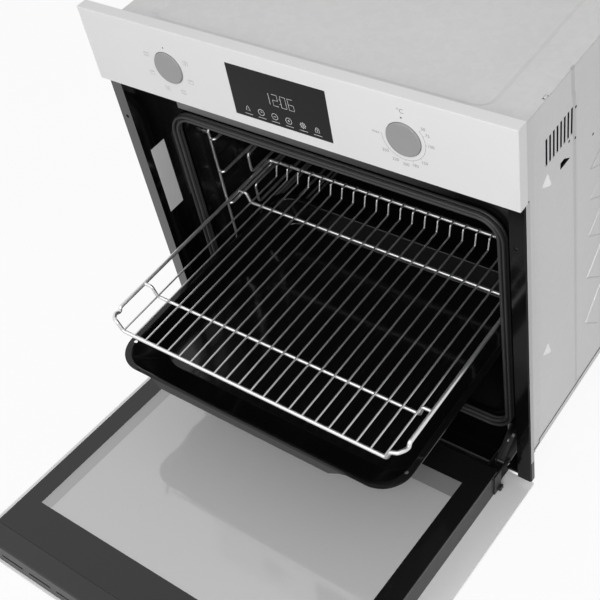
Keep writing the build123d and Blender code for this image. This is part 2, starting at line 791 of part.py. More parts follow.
def profile_end_caps():
    cap = block(inner_half, inner_half + 2.5, door_back + 3, inner_face - 1, inner_low - 3, inner_low + 14)
    cap += block(channel_outer + 1, inner_half, -6, 18, inner_low - 3, inner_low)
    cap += block(inner_half + 2.5, inner_half + 6, door_back + 3, door_back + 9, inner_low - 3, inner_low + 5)
    return both_sides(cap)


def handle_section(x):
    sides = 16
    turn = [radians(360 * k / sides) for k in range(sides)]
    face = Plane((x, handle_y, handle_z), x_dir=(0, 1, 0), z_dir=(1, 0, 0))
    return face * flat_face([(7.5 * cos(a), 12 * sin(a)) for a in turn])


def handle_bar():
    return extrude(handle_section(-handle_half), 2 * handle_half)


def handle_posts():
    corners = ((-1, -1), (1, -1), (1, 1), (-1, 1))
    foot = [(post_reach + 17 * u, door_front, handle_z + 10 * v) for u, v in corners]
    tip = [(post_reach + 13 * u, handle_y + 6, handle_z + 6 * v) for u, v in corners]
    return both_sides(tapered(foot, tip) - extrude(handle_section(post_reach - 30), 60))


# Every node, as name and solid. Door pieces are dropped open about the pivots.

fixed_nodes = {
    "control_panel": control_panel(),
    "display_glass": display_glass(),
    "timer_module": timer_module(),
    "control_bracket": control_bracket(),
    "function_switch": function_switch(),
    "thermostat": thermostat(),
    "function_shaft": knob_shaft(-knob_x),
    "thermostat_shaft": knob_shaft(knob_x),
    "function_knob": knob(-knob_x),
    "temperature_knob": knob(knob_x),
    "knob_sleeves": knob_sleeves(),
    "right_side_trim": right_side_trim(),
    "left_side_trim": other_side(right_side_trim()),
    "front_frame": front_frame(),
    "bottom_trim": bottom_trim(),
    "door_gasket": door_gasket(),
    "oven_cavity": oven_cavity(),
    "right_rack_support": right_rack_support(),
    "left_rack_support": other_side(right_rack_support()),
    "grill_element": grill_element(),
    "bottom_element": bottom_element(),
    "ring_element": ring_element(),
    "fan_cover": fan_cover(),
    "convection_fan": convection_fan(),
    "fan_motor": fan_motor(),
    "lamp_holder": lamp_holder(),
    "lamp_bulb": lamp_bulb(),
    "lamp_lens": lamp_lens(),
    "rack_frame": rack_frame(),
    "rack_grid": rack_grid(),
    "deep_tray": deep_tray(),
    "right_side_panel": right_side_panel(),
    "left_side_panel": other_side(right_side_panel()),
    "top_cover": top_cover(),
    "back_panel": back_panel(),
    "base_panel": base_panel(),
    "insulation": insulation(),
    "cooling_duct": cooling_duct(),
    "blower_wheel": blower_wheel(),
    "blower_motor": blower_motor(),
    "terminal_box": terminal_box(),
    "cable_gland": cable_gland(),
    "screws": screws(),
    "hinge_receivers": hinge_receivers(),
    "right_hinge_arm": right_hinge_arm(),
    "left_hinge_arm": other_side(right_hinge_arm()),
}

door_nodes = {
    "right_hinge_channel": right_hinge_channel(),
    "left_hinge_channel": other_side(right_hinge_channel()),
    "hinge_pins": hinge_pins(),
    "door_outer_glass": door_outer_glass(),
    "door_middle_glass": door_middle_glass(),
    "door_inner_glass": door_inner_glass(),
    "door_right_profile": door_right_profile(),
    "door_left_profile": other_side(door_right_profile()),
    "door_top_rail": door_top_rail(),
    "door_bottom_rail": door_bottom_rail(),
    "profile_end_caps": profile_end_caps(),
    "handle_bar": handle_bar(),
    "handle_posts": handle_posts(),
}

os.makedirs("parts", exist_ok=True)
for name, shape in fixed_nodes.items():
    export_step(shape, f"parts/{name}.step")
for name, shape in door_nodes.items():
    export_step(drop_open(shape), f"parts/{name}.step")
print(len(fixed_nodes) + len(door_nodes), "nodes written")
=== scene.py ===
import json
import math

import bpy
from mathutils import Matrix, Vector


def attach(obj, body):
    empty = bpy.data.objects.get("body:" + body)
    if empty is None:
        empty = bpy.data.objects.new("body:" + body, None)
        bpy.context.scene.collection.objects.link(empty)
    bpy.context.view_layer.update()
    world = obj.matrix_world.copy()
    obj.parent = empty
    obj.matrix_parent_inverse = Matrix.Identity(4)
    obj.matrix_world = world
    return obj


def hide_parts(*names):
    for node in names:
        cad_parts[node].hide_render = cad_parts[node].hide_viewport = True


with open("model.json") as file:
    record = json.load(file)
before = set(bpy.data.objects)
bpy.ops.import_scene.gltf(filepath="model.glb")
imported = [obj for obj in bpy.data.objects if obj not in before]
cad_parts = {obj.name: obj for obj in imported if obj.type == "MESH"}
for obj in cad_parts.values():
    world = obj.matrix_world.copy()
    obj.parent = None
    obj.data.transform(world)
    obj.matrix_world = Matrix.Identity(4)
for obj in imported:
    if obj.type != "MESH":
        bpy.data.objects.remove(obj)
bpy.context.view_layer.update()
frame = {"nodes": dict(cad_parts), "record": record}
nodes = frame["nodes"]
mm = 0.001
print("frame loaded:", len(nodes), "nodes")


# camera at the photograph's viewing angle

cameraLook = {
    "place": (0.700004, -0.746042, 1.243248),
    "lens": 65.647, "sensor": 36.0, "clip": (0.05, 60.0),
    "right": (0.7989189, 0.5791667, -0.1621558),
    "up": (-0.3314595, 0.6489622, 0.6848230),
    "back": (0.5018597, -0.4933700, 0.7104385),
}


def setCamera():
    data = bpy.data.cameras.new("photoCamera")
    data.sensor_width = cameraLook["sensor"]
    data.lens = cameraLook["lens"]
    data.clip_start, data.clip_end = cameraLook["clip"]
    cam = bpy.data.objects.new("photoCamera", data)
    bpy.context.scene.collection.objects.link(cam)
    axes = [Vector(cameraLook[k]) for k in ("right", "up", "back")]
    turn = Matrix(axes).transposed().to_4x4()
    cam.matrix_world = Matrix.Translation(cameraLook["place"]) @ turn
    bpy.context.scene.camera = cam


# one wrapped socket, so that shader maths reads as sums

class Value:
    def __init__(self, tree, socket):
        self.tree = tree
        self.socket = socket

    def make(self, kind, settings=None, inputs=None, out=0):
        node = self.tree.nodes.new("ShaderNode" + kind)
        for key, setting in (settings or {}).items():
            setattr(node, key, setting)
        for key, given in (inputs or {}).items():
            if isinstance(given, Value):
                self.tree.links.new(given.socket, node.inputs[key])
            else:
                node.inputs[key].default_value = given
        return Value(self.tree, node.outputs[out])

    def sum(self, operation, other, flipped=False):
        pair = {0: other, 1: self} if flipped else {0: self, 1: other}
        return self.make("Math", {"operation": operation}, pair)

    def __add__(self, other):
        return self.sum("ADD", other)

    def __radd__(self, other):
        return self + other

    def __sub__(self, other):
        return self.sum("SUBTRACT", other)

    def __rsub__(self, other):
        return self.sum("SUBTRACT", other, True)

    def __mul__(self, other):
        return self.sum("MULTIPLY", other)

    def __rmul__(self, other):
        return self * other

    def __gt__(self, other):
        return self.sum("GREATER_THAN", other)

    def __lt__(self, other):
        return self.sum("LESS_THAN", other)

    def held(self):
        return self.sum("MAXIMUM", 0.0).sum("MINIMUM", 1.0)

    def size(self):
        return self.sum("ABSOLUTE", 0.0)

    def part(self, axis):
        return self.make("SeparateXYZ", None, {0: self}, "XYZ".index(axis))

    def stretched(self, scale):
        return self.make("Mapping", None, {"Vector": self, "Scale": scale})

    def noise(self, scale, detail, roughness=0.55):
        sockets = {"Vector": self, "Scale": scale, "Detail": detail, "Roughness": roughness}
        return self.make("TexNoise", None, sockets)

    def tint(self, low, high):
        # low may be a finished colour, which high then covers where the factor is 1
        start = low if isinstance(low, Value) else (*low, 1.0)
        return self.make("Mix", {"data_type": "RGBA"}, {"Factor": self, 6: start, 7: (*high, 1.0)}, 2)

    def spread(self, low, high):
        return self * (high - low) + low

    def bump(self, strength, depth):
        return self.make("Bump", None, {"Strength": strength, "Distance": depth, "Height": self})


def newFinish(name, recipe):
    mat = bpy.data.materials.new(name)
    mat.use_nodes = True
    tree = mat.node_tree
    shader = tree.nodes["Principled BSDF"]
    place = Value(tree, tree.nodes.new("ShaderNodeTexCoord").outputs["Object"])
    for key, given in recipe(place).items():
        if isinstance(given, Value):
            tree.links.new(given.socket, shader.inputs[key])
        else:
            shader.inputs[key].default_value = given
    return mat


def grey(tone):
    return (tone, tone, tone)


def inside(value, low, high):
    return (value > low) * (value < high)


# fine textures that several finishes share: noise scale and detail, and the depth of the bump

textureLook = {
    "peel": (1400.0, 2.0, 0.0002),
    "ripple": (260.0, 2.0, 0.0004),
    "drawn": (24.0, 4.0, 0.0003),
    "enamelCloud": (14.0, 3.0),
    "steelCloud": (18.0, 3.0),
}


def paintPeel(place, strength):
    scale, detail, depth = textureLook["peel"]
    return place.noise(scale, detail).bump(strength, depth)


def enamelRipple(place):
    scale, detail, depth = textureLook["ripple"]
    return place.noise(scale, detail).bump(0.04, depth)


def drawnMetal(place, along, low, high):
    # fine lines along the drawing direction, over a soft cloud
    scale, detail, depth = textureLook["drawn"]
    grain = place.stretched(along).noise(scale, detail)
    cloud = place.noise(*textureLook["steelCloud"])
    tone = (grain * 0.4 + cloud * 0.6).tint(grey(low), grey(high))
    return tone, cloud, grain.bump(0.05, depth)


# finishes, one recipe for each

def satinPaint(low, high, rough, shine=0.5):
    def recipe(place):
        cloud = place.noise(9.0, 2.0)
        return {"Base Color": cloud.tint(grey(low), grey(high)),
                "Roughness": cloud.spread(rough - 0.04, rough + 0.05),
                "Normal": paintPeel(place, 0.05), "Specular IOR Level": shine}
    return recipe


def glossEnamel(low, high, rough, shine):
    def recipe(place):
        cloud = place.noise(*textureLook["enamelCloud"])
        fleck = place.noise(2600.0, 1.0) > 0.68
        tone = (fleck * 0.35).tint(cloud.tint(grey(low), grey(high)), grey(high * 3.0))
        return {"Base Color": tone, "Roughness": cloud.spread(rough * 0.8, rough * 1.25),
                "Normal": enamelRipple(place), "Specular IOR Level": shine}
    return recipe


# painted reflection on the frame: lowest height, left end, fading end and rate, enamel grey and reflection
# grey
frameReflection = {"low": 0.4168, "left": -0.238, "right": 0.19, "fade": 2.4, "tones": (0.003, 0.26)}


def frameEnamel(place):
    # painted reflection: above the gasket the frame is painted lighter, fading towards the right
    h = frameReflection
    cloud = place.noise(*textureLook["enamelCloud"])
    across = place.part("X")
    fading = ((h["right"] - across) * h["fade"]).held()
    paintedReflection = (place.part("Z") > h["low"]) * (across > h["left"]) * fading
    dark, reflectedGrey = h["tones"]
    return {"Base Color": paintedReflection.tint(grey(dark), grey(reflectedGrey)), "Roughness": cloud.spread(0.18, 0.26),
            "Normal": enamelRipple(place), "Specular IOR Level": 0.5}


trimReturn = {"half": 0.29675, "low": 0.036, "tone": 0.55}


def blackTrim(place):
    # the return towards the casing is bare zinc sheet above the foot of the trim
    cloud = place.noise(9.0, 2.0)
    across = place.part("X")
    bare = (across.size() > trimReturn["half"]) * (place.part("Z") > trimReturn["low"])
    tone = bare.tint(cloud.tint(grey(0.0025), grey(0.0045)), grey(trimReturn["tone"]))
    return {"Base Color": tone, "Roughness": bare * 0.4 + cloud.spread(0.09, 0.13),
            "Normal": paintPeel(place, 0.03), "Specular IOR Level": 0.16,
            "Coat Weight": across < 0.0, "Coat Roughness": 0.12}


def bareSteel(low, high, rough):
    def recipe(place):
        tone, cloud, lines = drawnMetal(place, (8.0, 90.0, 90.0), low, high)
        return {"Base Color": tone, "Metallic": 1.0, "Roughness": cloud.spread(rough - 0.06, rough + 0.08),
                "Normal": lines}
    return recipe


# painted shade on the door profile: where the flanks start, and their grey
profileShade = {"half": 0.2606, "tone": 0.055}


def doorProfile(place):
    # painted shade: drawn metal, with the flanks towards the hinge channels painted dark for the dark they
    # reflect
    shadedFlank = place.part("X").size() > profileShade["half"]
    bare, cloud, lines = drawnMetal(place, (90.0, 8.0, 90.0), 0.55, 0.68)
    return {"Base Color": shadedFlank.tint(bare, grey(profileShade["tone"])), "Metallic": 1.0 - shadedFlank,
            "Roughness": cloud.spread(0.28, 0.42), "Normal": lines, "Specular IOR Level": 0.2}


casingLook = {
    "wall": 0.277,  # from here outwards a point lies on a side sheet
    "slots": (0.0685, 0.0083, 0.00205),  # first, pitch and half width
    "slotField": (0.064, 0.131, 0.475, 0.511),  # y from and to, z from and to
    "tab": (0.1008, 0.1242, 0.4449, 0.4541, 1.5556),  # y from and to, z from and to, lean
    "holes": ((0.136, 0.506), (0.136, 0.464), (0.121, 0.470), (0.184, 0.434)), "holeRadius": 0.00195,
    "scoops": ((0.0645, 0.458), (0.0645, 0.182)),
    "scoopTurn": math.radians(52.4), "scoopSize": (0.0155, 0.0078),
    "fieldEdge": (0.160, 0.012, 0.048, 0.008),  # rear edge of the raised field: y, z, lean and width
    "diamonds": 5, "diamondZ": (0.385, 0.041, 0.0065), "diamondRise": (0.020, 0.005),
    "diamondY": (0.220, 0.042), "diamondRim": 11.0, "diamondShare": 0.8,
    # depth of the pressing, grey of the painted highlight on the tongues and of the painted shade on the
    # openings
    "press": 0.0035, "tongueHighlightTone": 0.97, "shadeTone": 0.006,
}


def sideOpeningShade(y, z):
    # painted shade: the side sheets' openings and their edges are painted near black
    c = casingLook
    first, pitch, half = c["slots"]
    yFrom, yTo, zFrom, zTo = c["slotField"]
    openingShade = ((y - first).sum("PINGPONG", pitch / 2) < half) * inside(y, yFrom, yTo) * inside(z, zFrom, zTo)
    yFrom, yTo, zFrom, zTo, lean = c["tab"]
    openingShade = openingShade + inside(z, zFrom, zTo) * (y > yFrom) * (y + (z - zFrom) * lean < yTo)
    for holeY, holeZ in c["holes"]:
        away = (y - holeY) * (y - holeY) + (z - holeZ) * (z - holeZ)
        openingShade = openingShade + (away < c["holeRadius"] ** 2)
    return openingShade


def sideTongueHighlights(y, z):
    # painted highlight: half ovals of the lifted tongues, painted near white for the light they catch
    c = casingLook
    cosine, sine = math.cos(c["scoopTurn"]), math.sin(c["scoopTurn"])
    longHalf, wideHalf = c["scoopSize"]
    tongues = []
    for scoopY, scoopZ in c["scoops"]:
        along = ((y - scoopY) * cosine - (z - scoopZ) * sine) * (1.0 / longHalf)
        across = ((y - scoopY) * sine + (z - scoopZ) * cosine) * (1.0 / wideHalf)
        tongues.append((along > 0.0) * (along * along + across * across < 1.0))
    upper, lower = tongues
    return upper + lower


def sideRelief(y, z):
    # sharpens the pressed field and diamonds of the side sheets
    c = casingLook
    edgeY, edgeZ, lean, width = c["fieldEdge"]
    relief = ((edgeY - (z - edgeZ) * lean - y) * (1.0 / width)).held()
    middleY, wide = c["diamondY"]
    top, step, growth = c["diamondZ"]
    firstRise, moreRise = c["diamondRise"]
    for k in range(c["diamonds"]):
        middle = top - step * k - growth * k * k
        rise = firstRise + moreRise * k
        rim = 1.0 - (y - middleY).size() * (1.0 / wide) - (z - middle).size() * (1.0 / rise)
        relief = relief + (rim * c["diamondRim"]).held() * c["diamondShare"]
    return relief


def zincSheet(low, high):
    c = casingLook

    def recipe(place):
        x, y, z = (place.part(axis) for axis in "XYZ")
        wall = x.size() > c["wall"]
        spangle = place.make("TexVoronoi", None, {"Vector": place, "Scale": 130.0}, 1)
        flake = spangle.make("SeparateColor", None, {0: spangle}, 0)
        cloud = place.noise(6.0, 3.0)
        tone = (flake * 0.35 + cloud * 0.65).tint(grey(low), grey(high))
        # painted shade over the openings, painted highlight on the lifted tongues
        dark = (sideOpeningShade(y, z) * wall).sum("MINIMUM", 1.0)
        tongueHighlight = sideTongueHighlights(y, z) * wall
        tone = dark.tint(tongueHighlight.tint(tone, grey(c["tongueHighlightTone"])), grey(c["shadeTone"]))
        height = sideRelief(y, z) * wall + place.noise(500.0, 2.0) * 0.003
        return {"Base Color": tone, "Metallic": (1.0 - dark - tongueHighlight) * 0.35,
                "Roughness": flake.spread(0.42, 0.56), "Normal": height.bump(1.0, c["press"])}
    return recipe


def mouldedPlastic(low, high, rough):
    def recipe(place):
        cloud = place.noise(30.0, 2.0)
        grain = place.noise(1800.0, 2.0)
        return {"Base Color": cloud.tint(grey(low), grey(high)),
                "Roughness": cloud.spread(rough - 0.05, rough + 0.06), "Normal": grain.bump(0.10, 0.0002)}
    return recipe


def polishedWire(place):
    cloud = place.noise(60.0, 2.0)
    return {"Base Color": cloud.tint(grey(0.68), grey(0.78)), "Metallic": 0.9,
            "Roughness": cloud.spread(0.28, 0.36)}


def softRubber(place):
    cloud = place.noise(40.0, 3.0)
    fine = place.noise(1500.0, 2.0)
    return {"Base Color": cloud.tint(grey(0.024), grey(0.036)), "Roughness": cloud.spread(0.46, 0.58),
            "Normal": fine.bump(0.12, 0.0002)}


def bakedWool(place):
    fibre = place.stretched((1.0, 5.0, 5.0)).noise(160.0, 6.0, 0.7)
    return {"Base Color": fibre.tint((0.50, 0.46, 0.36), (0.78, 0.74, 0.63)), "Roughness": 0.95,
            "Normal": fibre.bump(0.5, 0.002)}


def clearGlass(tone, alpha):
    def recipe(place):
        smear = place.noise(25.0, 3.0)
        return {"Base Color": smear.tint(grey(tone * 0.94), grey(tone)),
                "Roughness": smear.spread(0.03, 0.07), "Alpha": alpha}
    return recipe


doorSet = {"tilt": math.radians(84.5), "pivotZ": -0.002}  # how far the door stands open in the frame


def upDoor(place):
    # distance up the door from its pivots, and behind its front, as if it were shut
    y, z = place.part("Y"), place.part("Z") - doorSet["pivotZ"]
    cosine, sine = math.cos(doorSet["tilt"]), math.sin(doorSet["tilt"])
    return z * cosine - y * sine, z * sine + y * cosine


outerPane = {"blackHalf": 0.236, "blackTo": 0.075, "back": -0.0145, "blackTone": 0.010}


def whiteGlass(place):
    # white, with black print on the back along the lower edge, between the hinges
    p = outerPane
    cloud = place.noise(8.0, 2.0)
    along, behind = upDoor(place)
    low = (place.part("X").size() < p["blackHalf"]) * (along < p["blackTo"])
    black = low * (behind > p["back"])
    tone = black.tint(cloud.tint(grey(0.91), grey(0.94)), grey(p["blackTone"]))
    return {"Base Color": tone, "Roughness": cloud.spread(0.14, 0.20),
            "Coat Weight": 0.6, "Coat Roughness": 0.03}


innerPane = {
    "halfWindow": 0.231, "low": 0.0762, "high": 0.4002,
    # the border's painted shadow on the window, at the side and along the lower edge
    "sideShadow": (-0.2125, 0.28), "lowShadow": (0.027, 0.5),  # edge or width, and how much darker it is
    "tones": (0.010, 0.72),
}


def printedGlass(place):
    # painted shadow: black border round a grey window, with two darker strips painted where the border's
    # shadow falls
    p = innerPane
    along = upDoor(place)[0]
    across = place.part("X")
    middle = (p["low"] + p["high"]) / 2
    half = (p["high"] - p["low"]) / 2
    window = ((along - middle).size() < half) * (across.size() < p["halfWindow"])
    sideTo, sideDepth = p["sideShadow"]
    lowWide, lowDepth = p["lowShadow"]
    borderShadow = ((across < sideTo) * sideDepth).sum("MAXIMUM", (along < p["low"] + lowWide) * lowDepth)
    smear = place.noise(16.0, 3.0)
    border, pane = p["tones"]
    return {"Base Color": (window * (1.0 - borderShadow)).tint(grey(border), grey(pane)),
            "Metallic": window * 0.08, "Roughness": smear.spread(0.05, 0.09),
            "Alpha": 1.0 - window * 0.2, "Coat Weight": window * 0.6}


def litPrint(place):
    cloud = place.noise(120.0, 1.0)
    return {"Base Color": cloud.tint(grey(0.45), grey(0.55)), "Roughness": 0.5,
            "Emission Color": (1.0, 1.0, 1.0, 1.0), "Emission Strength": 0.16}


finishRecipes = {
    "panel_paint": satinPaint(0.77, 0.81, 0.48, 0.36),
    "display_black": glossEnamel(0.004, 0.007, 0.08, 0.15),
    "knob_grey": mouldedPlastic(0.30, 0.33, 0.42),
    "dark_plastic": mouldedPlastic(0.014, 0.024, 0.45),
    "pale_plastic": mouldedPlastic(0.55, 0.62, 0.5),
    "steel_shaft": bareSteel(0.50, 0.66, 0.28),
    "trim_black": blackTrim,
    "frame_enamel": frameEnamel,
    "cavity_enamel": glossEnamel(0.006, 0.012, 0.22, 0.25),
    "tray_enamel": glossEnamel(0.003, 0.006, 0.10, 0.36),
    "gasket_rubber": softRubber,
    "wire_chrome": polishedWire,
    "element_steel": bareSteel(0.08, 0.16, 0.5),
    "galvanised": zincSheet(0.59, 0.70),
    "ceramic": mouldedPlastic(0.70, 0.78, 0.6),
    "lamp_glass": clearGlass(0.9, 0.35),
    "wool": bakedWool,
    "motor_steel": bareSteel(0.22, 0.34, 0.45),
    "outer_glass": whiteGlass,
    "inner_glass": printedGlass,
    "clear_glass": clearGlass(0.75, 0.25),
    "profile_metal": doorProfile,
    "handle_metal": bareSteel(0.50, 0.62, 0.30),
    "hinge_steel": satinPaint(0.014, 0.024, 0.55, 0.04),
}
printRecipes = {"panelPrint": mouldedPlastic(0.26, 0.32, 0.6), "displayPrint": litPrint}
finishes = {name: newFinish(name, recipe) for name, recipe in {**finishRecipes, **printRecipes}.items()}
slotOf = {row["node"]: row["material_slot"] for row in frame["record"]["subparts"]}


def dressNodes():
    for name, node in nodes.items():
        node.data.materials.clear()
        node.data.materials.append(finishes[slotOf[name]])


def dressPiece(obj, finish, body, stands=()):
    obj.data.materials.clear()
    obj.data.materials.append(finishes[finish])
    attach(obj, body)
    finish in finishRecipes
    if stands:
        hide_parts(*stands)


dressNodes()
setCamera()
print("finishes on the nodes:", len(finishes))


# selecting, joining and copying

near = 1e-5  # points closer than this, in metres, are the same
facing = 0.9  # a face whose normal has more than this along an axis faces that way


def deselectAll():
    if bpy.context.object and bpy.context.object.mode != "OBJECT":
        bpy.ops.object.mode_set(mode="OBJECT")
    bpy.ops.object.select_all(action="DESELECT")


def selectOnly(obj):
    deselectAll()
    obj.select_set(True)
    bpy.context.view_layer.objects.active = obj


def pickNear(obj, spots):
    bpy.ops.mesh.select_mode(type="VERT")
    bpy.ops.mesh.select_all(action="DESELECT")
    bpy.ops.object.mode_set(mode="OBJECT")
    for vert in obj.data.vertices:
        vert.select = any((vert.co - spot).length < near for spot in spots)
    bpy.ops.object.mode_set(mode="EDIT")


def pickFaces(obj, wanted):
    bpy.ops.object.mode_set(mode="EDIT")
    bpy.ops.mesh.select_mode(type="FACE")
    bpy.ops.mesh.select_all(action="DESELECT")
    bpy.ops.object.mode_set(mode="OBJECT")
    for face in obj.data.polygons:
        face.select = wanted(face)
    bpy.ops.object.mode_set(mode="EDIT")


def applyModifier(obj, kind, **settings):
    step = obj.modifiers.new("step", kind)
    for key, setting in settings.items():
        setattr(step, key, setting)
    bpy.context.view_layer.objects.active = obj
    bpy.ops.object.modifier_apply(modifier=step.name)


def placeInMesh():
    bpy.ops.object.transform_apply(location=True, rotation=True, scale=True)


def smoothBelow(degrees):
    bpy.ops.object.shade_smooth_by_angle(angle=math.radians(degrees))


def joinPieces(objs, name):
    deselectAll()
    for obj in objs:
        obj.select_set(True)
    bpy.context.view_layer.objects.active = objs[0]
    bpy.ops.object.join()
    objs[0].name = name
    objs[0].data.name = name
    placeInMesh()
    return objs[0]


def copyAlong(obj, step, count):
    made = [obj]
    for k in range(1, count):
        selectOnly(obj)
        bpy.ops.object.duplicate(linked=False)
        bpy.ops.transform.translate(value=Vector(step) * mm * k)
        made.append(bpy.context.object)
    return made


def mirrorAcross(obj):
    selectOnly(obj)
    bpy.ops.object.duplicate(linked=False)
    other = bpy.context.object
    bpy.ops.transform.mirror(constraint_axis=(True, False, False), center_override=(0, 0, 0))
    placeInMesh()
    bpy.ops.object.mode_set(mode="EDIT")
    bpy.ops.mesh.select_all(action="SELECT")
    bpy.ops.mesh.normals_make_consistent(inside=False)
    bpy.ops.object.mode_set(mode="OBJECT")
    return other


def stretchY(obj, y, share):
    selectOnly(obj)
    bpy.ops.object.mode_set(mode="EDIT")
    bpy.ops.mesh.select_all(action="SELECT")
    bpy.ops.transform.resize(value=(1, share, 1), center_override=(0, y * mm, 0))
    bpy.ops.object.mode_set(mode="OBJECT")
    return obj


def barAlongY(radius, front, rear, x, z, sides, ends="NGON"):
    deselectAll()
    middle = Vector((x, (front + rear) / 2, z)) * mm
    bpy.ops.mesh.primitive_cylinder_add(vertices=sides, radius=radius * mm, depth=(rear - front) * mm,
                                        end_fill_type=ends, location=middle, rotation=(math.pi / 2, 0, 0))
    placeInMesh()
    return bpy.context.object


# bent round wire: corners of a run of edges are rounded by vertex bevels, then the run gets its section

wireLook = {"bendStep": 0.12, "smooth": 50}  # radians in one step of a bend, degrees shaded round


def bentWire(name, route, radius, bends, closed=False, sides=3):
    points = [Vector(p) * mm for p in route]
    deselectAll()
    bpy.ops.mesh.primitive_plane_add(size=0.01, location=(0, 0, 0))
    obj = bpy.context.object
    bpy.ops.object.mode_set(mode="EDIT")
    bpy.ops.mesh.select_mode(type="VERT")
    bpy.ops.mesh.select_all(action="SELECT")
    bpy.ops.mesh.merge(type="CENTER")
    bpy.ops.transform.translate(value=points[0])
    for last, here in zip(points, points[1:]):
        bpy.ops.mesh.extrude_vertices_move(TRANSFORM_OT_translate={"value": here - last})
    if closed:
        pickNear(obj, (points[0], points[-1]))
        bpy.ops.mesh.edge_face_add()
    corners = range(len(points)) if closed else range(1, len(points) - 1)
    for order, k in enumerate(corners if bends else ()):
        before, here, after = points[k - 1], points[k], points[(k + 1) % len(points)]
        turn = (here - before).angle(after - here)
        bend = bends[order] if isinstance(bends, (list, tuple)) else bends
        steps = max(2, int(turn / wireLook["bendStep"]))
        pickNear(obj, (here,))
        bpy.ops.mesh.bevel(offset=bend * mm * math.tan(turn / 2), offset_type="OFFSET", segments=steps,
                           affect="VERTICES")
    bpy.ops.object.mode_set(mode="OBJECT")
    bpy.ops.object.convert(target="CURVE")
    obj.data.bevel_depth = radius * mm
    obj.data.bevel_resolution = sides
    obj.data.use_fill_caps = True
    bpy.ops.object.convert(target="MESH")
    smoothBelow(wireLook["smooth"])
    obj.name = name
    return obj


rackLook = {
    "railHalf": 229.5, "railZ": 229.0, "railWire": 2.75, "front": -187.0, "rear": 174.0,
    # front corner with the stop's dip behind it: x, distance behind the front, depth below the rail
    "corner": ((210.0, 0.0, 16.5), (216.5, 0.0, 1.7), (224.4, 3.0, 1.7), (229.5, 10.4, 2.0),
               (229.5, 18.5, 6.0), (229.5, 21.5, 0.0)),
    "cornerBends": [5, 4, 6, 5, 2.8, 3.5, 6],
    "barZ": 212.5, "barWire": 2.4, "bars": (-115.5, 97.5), "barEnd": (210.5, 216.0, 228.5), "barBend": 4,
    "thinWire": 1.3, "thinHalf": 207.9, "thinCount": 22, "thinPast": 0.5, "thinBend": 2.5,
    "fence": (15.5, 10.5),  # the thin wires rise between these distances before the rear wire
    "sink": 0.5,  # how far welded wires sink into each other
}


def makeRack():
    r = rackLook
    front, rear, top = r["front"], r["rear"], r["railZ"]
    corner = [(x, front + behind, top - below) for x, behind, below in r["corner"]]
    corner.append((r["railHalf"], rear, top))
    loop = corner + [(-x, y, z) for x, y, z in reversed(corner)]
    bends = r["cornerBends"]
    wires = [bentWire("rackRail", loop, r["railWire"], bends + bends[::-1], closed=True)]
    foot, crest, tip = r["barEnd"]
    for y in r["bars"]:
        end = [(foot, y, r["barZ"]), (crest, y, top), (tip, y, top)]
        bar = [(-x, y, z) for x, y, z in reversed(end)] + end
        wires.append(bentWire("rackBar", bar, r["barWire"], r["barBend"]))
    thinZ = r["barZ"] + r["barWire"] + r["thinWire"] - r["sink"]
    fenceZ = top + r["railWire"] + r["thinWire"] - r["sink"]
    fenceFrom, fenceTo = r["fence"]
    run = [(front - r["thinPast"], thinZ), (rear - fenceFrom, thinZ),
           (rear - fenceTo, fenceZ), (rear + r["thinPast"], fenceZ)]
    route = [(-r["thinHalf"], y, z) for y, z in run]
    thin = bentWire("rackThin", route, r["thinWire"], r["thinBend"])
    pitch = 2 * r["thinHalf"] / (r["thinCount"] - 1)
    wires += copyAlong(thin, (pitch, 0, 0), r["thinCount"])
    rack = joinPieces(wires, "wireRack")
    dressPiece(rack, "wire_chrome", "rack", ("rack_frame", "rack_grid"))
    print("wire rack:", len(rack.data.polygons), "faces")


supportLook = {
    "postX": 234.5, "railX": 226.5, "guideX": 231.5, "front": 75.0, "rear": 400.0, "guideFront": 134.0,
    "firstLevel": 106.0, "pitch": 58.5, "levels": 5, "wire": 2.2,
    "under": 20.0, "over": 18.0,  # the loop reaches past the lowest and the highest rail
    "guideRise": (12.0, 46.0),  # lower and upper wire of a guide, above its rail
    "loopBend": 8, "railBend": 4, "guideBend": 6,
    "pegIn": 6.0, "pegX": (241.0, 243.0), "pegWire": 3.0, "pegBend": 2,
}


def makeSupports():
    s = supportLook
    post, rail, guideX = s["postX"], s["railX"], s["guideX"]
    front, rear, guideFront = s["front"], s["rear"], s["guideFront"]
    low = s["firstLevel"] - s["under"]
    high = s["firstLevel"] + s["pitch"] * (s["levels"] - 1) + s["over"]
    loop = [(post, front, low), (post, front, high), (post, rear, high), (post, rear, low)]
    wires = [bentWire("supportLoop", loop, s["wire"], s["loopBend"], closed=True)]
    for k in range(s["levels"]):
        z = s["firstLevel"] + s["pitch"] * k
        run = [(post, front, z), (rail, front, z), (rail, rear, z), (post, rear, z)]
        wires.append(bentWire("supportRail", run, s["wire"], s["railBend"]))
        lower, upper = (z + rise for rise in s["guideRise"])
        guide = [(guideX, rear, lower), (guideX, guideFront, lower)]
        if k < s["levels"] - 1:
            guide += [(guideX, guideFront, upper), (guideX, rear, upper)]
        wires.append(bentWire("supportGuide", guide, s["wire"], s["guideBend"]))
    for y in (front, rear):
        for z in (low + s["pegIn"], high - s["pegIn"]):
            peg = [(x, y, z) for x in (post, *s["pegX"])]
            wires.append(bentWire("supportPeg", peg, s["pegWire"], s["pegBend"]))
    right = joinPieces(wires, "rightRackSupport")
    left = mirrorAcross(right)
    left.name = "leftRackSupport"
    dressPiece(right, "wire_chrome", "carcass", ("right_rack_support",))
    dressPiece(left, "wire_chrome", "carcass", ("left_rack_support",))
    print("rack supports:", s["levels"], "levels a side")


